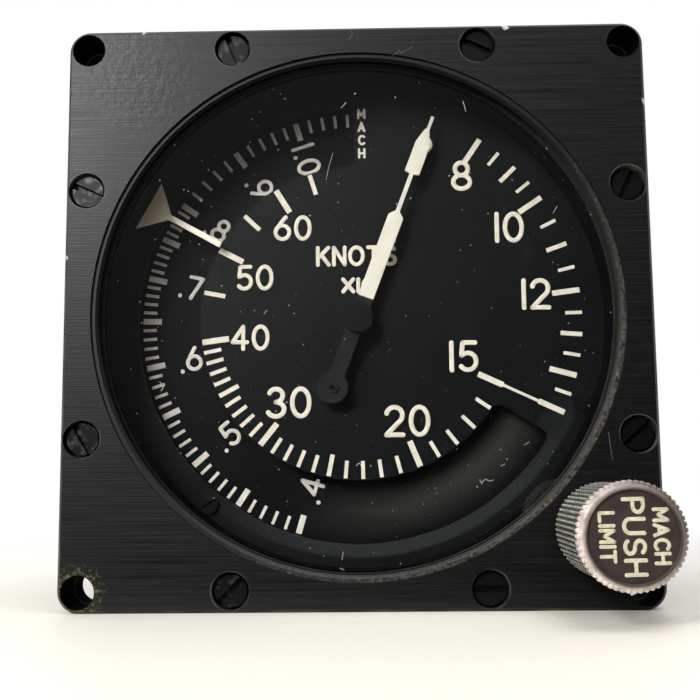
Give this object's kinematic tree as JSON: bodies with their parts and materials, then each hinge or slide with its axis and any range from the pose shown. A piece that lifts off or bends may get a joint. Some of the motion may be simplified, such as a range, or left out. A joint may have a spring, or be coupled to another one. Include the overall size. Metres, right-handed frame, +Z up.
{
  "type": "airspeed indicator",
  "caption": "Square-bezel panel airspeed indicator with a pointer, a turning sub-scale disc behind the dial, a limit index and a push knob.",
  "frame": {"origin": "dial axis at the bezel's front face, the middle of the four panel holes", "axes": "+X right as seen from the front, +Y into the panel, +Z up"},
  "size_m": [0.0826, 0.106, 0.0826],
  "materials": {
    "bezel_black": "black anodised and rubbed aluminium",
    "case_black": "satin black paint",
    "screw_black": "blackened steel, worn at the slots",
    "retainer_grey": "dull grey-brown, dusty",
    "window_glass": "clear",
    "seal_rubber": "matte",
    "dial_black": "matte black with cream marks",
    "disc_black": "matte black with grey marks",
    "pointer_cream": "matte cream paint, black tail",
    "index_tan": "satin tan paint",
    "knob_black": "black anodised aluminium, worn to bare metal at the rim",
    "legend_brown": "dark brown-black with cream filled lettering",
    "movement_brass": "turned and milled",
    "movement_steel": "turned",
    "capsule_bronze": "pressed",
    "union_alloy": "machined",
    "cover_steel": "plated",
    "friction_brown": "pressed fibre"
  },
  "bodies": {
    "case": {"bezel": "bezel_black", "bezel_screws": "screw_black", "window_glass": "window_glass", "glass_gasket": "seal_rubber", "glass_retaining_ring": "retainer_grey", "flange_gasket": "seal_rubber", "case_body": "case_black", "rear_cover": "case_black", "rear_cover_seal": "seal_rubber", "rear_cover_screws": "cover_steel", "pitot_union": "union_alloy", "static_union": "union_alloy", "dial_plate": "dial_black", "dial_screws": "screw_black", "dial_support_ring": "disc_black", "front_plate": "movement_brass", "rear_plate": "movement_brass", "plate_pillars": "movement_brass", "movement_screws": "movement_steel", "capsule_bridge": "union_alloy", "airspeed_capsule": "capsule_bronze", "aneroid_capsule": "capsule_bronze", "pitot_pipe": "capsule_bronze", "knob_bush": "movement_steel", "shaft_seal": "seal_rubber", "pinion_stud": "movement_steel", "sleeve_bearing": "movement_brass", "staff_bearing": "movement_brass", "hairspring": "movement_steel", "hairspring_stud": "movement_steel", "knob_spring": "movement_steel"},
    "push": {"spring_washer": "movement_steel"},
    "knob": {"knob": "knob_black", "knob_legend_disc": "legend_brown", "knob_shaft": "movement_steel", "knob_set_screw": "cover_steel", "clutch_disc": "movement_steel"},
    "limit_ring": {"limit_ring": "disc_black", "limit_index": "index_tan"},
    "limit_pinion": {"limit_pinion": "movement_brass", "clutch_facing": "friction_brown"},
    "pointer": {"airspeed_pointer": "pointer_cream", "pointer_hub": "screw_black", "pointer_staff": "movement_steel", "staff_pinion": "movement_brass", "spring_collet": "movement_brass"},
    "airspeed_rocker": {"airspeed_sector": "movement_brass", "airspeed_arbor": "movement_steel", "airspeed_crank": "movement_brass"},
    "airspeed_lift": {"airspeed_stem": "movement_steel", "airspeed_link": "movement_steel"},
    "mach_scale": {"mach_disc": "disc_black", "mach_sleeve": "movement_brass", "mach_gear": "movement_brass"},
    "mach_rocker": {"mach_sector": "movement_brass", "mach_arbor": "movement_steel", "mach_crank": "movement_brass"},
    "aneroid_lift": {"aneroid_stem": "movement_steel", "aneroid_link": "movement_steel"}
  },
  "joints": [
    {"name": "airspeed_rise", "type": "slide", "parent": "case", "child": "airspeed_lift", "axis": [0, 0, 1], "range_m": [0, 0.00267], "deforming": ["airspeed_capsule"]},
    {"name": "pointer_turn", "type": "hinge", "parent": "case", "child": "pointer", "pos_m": [0, 0, 0], "axis": [0, 1, 0], "range_deg": [0, 322.5]},
    {"name": "airspeed_rock", "type": "hinge", "parent": "case", "child": "airspeed_rocker", "pos_m": [-0.01925, 0, 0], "axis": [0, 1, 0], "range_deg": [-32.5, 0]},
    {"name": "aneroid_rise", "type": "slide", "parent": "case", "child": "aneroid_lift", "axis": [0, 0, 1], "range_m": [0, 0.0024], "deforming": ["aneroid_capsule"]},
    {"name": "mach_turn", "type": "hinge", "parent": "case", "child": "mach_scale", "pos_m": [0, 0, 0], "axis": [0, 1, 0], "range_deg": [-100.5, 0]},
    {"name": "mach_rock", "type": "hinge", "parent": "case", "child": "mach_rocker", "pos_m": [0.02, 0, 0], "axis": [0, 1, 0], "range_deg": [0, 25.5]},
    {"name": "limit_turn", "type": "hinge", "parent": "case", "child": "limit_ring", "pos_m": [0, 0, 0], "axis": [0, 1, 0], "range_deg": [-100, 55]},
    {"name": "limit_pinion_turn", "type": "hinge", "parent": "case", "child": "limit_pinion", "pos_m": [0.03207, 0, -0.03027], "axis": [0, 1, 0], "range_deg": [-350, 636]},
    {"name": "knob_push", "type": "slide", "parent": "case", "child": "push", "axis": [0, 1, 0], "range_m": [0, 0.0015], "stiffness_N_per_m": 600, "springref_m": -0.002, "deforming": ["knob_spring"]},
    {"name": "knob_turn", "type": "hinge", "parent": "push", "child": "knob", "pos_m": [0.03207, 0, -0.03027], "axis": [0, 1, 0], "continuous": true}
  ],
  "couplings": [
    {"joint": "pointer_turn", "follows": "airspeed_rise", "rad_per_m": 2105.3},
    {"joint": "airspeed_rock", "follows": "airspeed_rise", "rad_per_m": -210.53},
    {"joint": "mach_turn", "follows": "aneroid_rise", "rad_per_m": -727.27},
    {"joint": "mach_rock", "follows": "aneroid_rise", "rad_per_m": 181.82},
    {"joint": "limit_pinion_turn", "follows": "limit_turn", "ratio": -6.35}
  ]
}
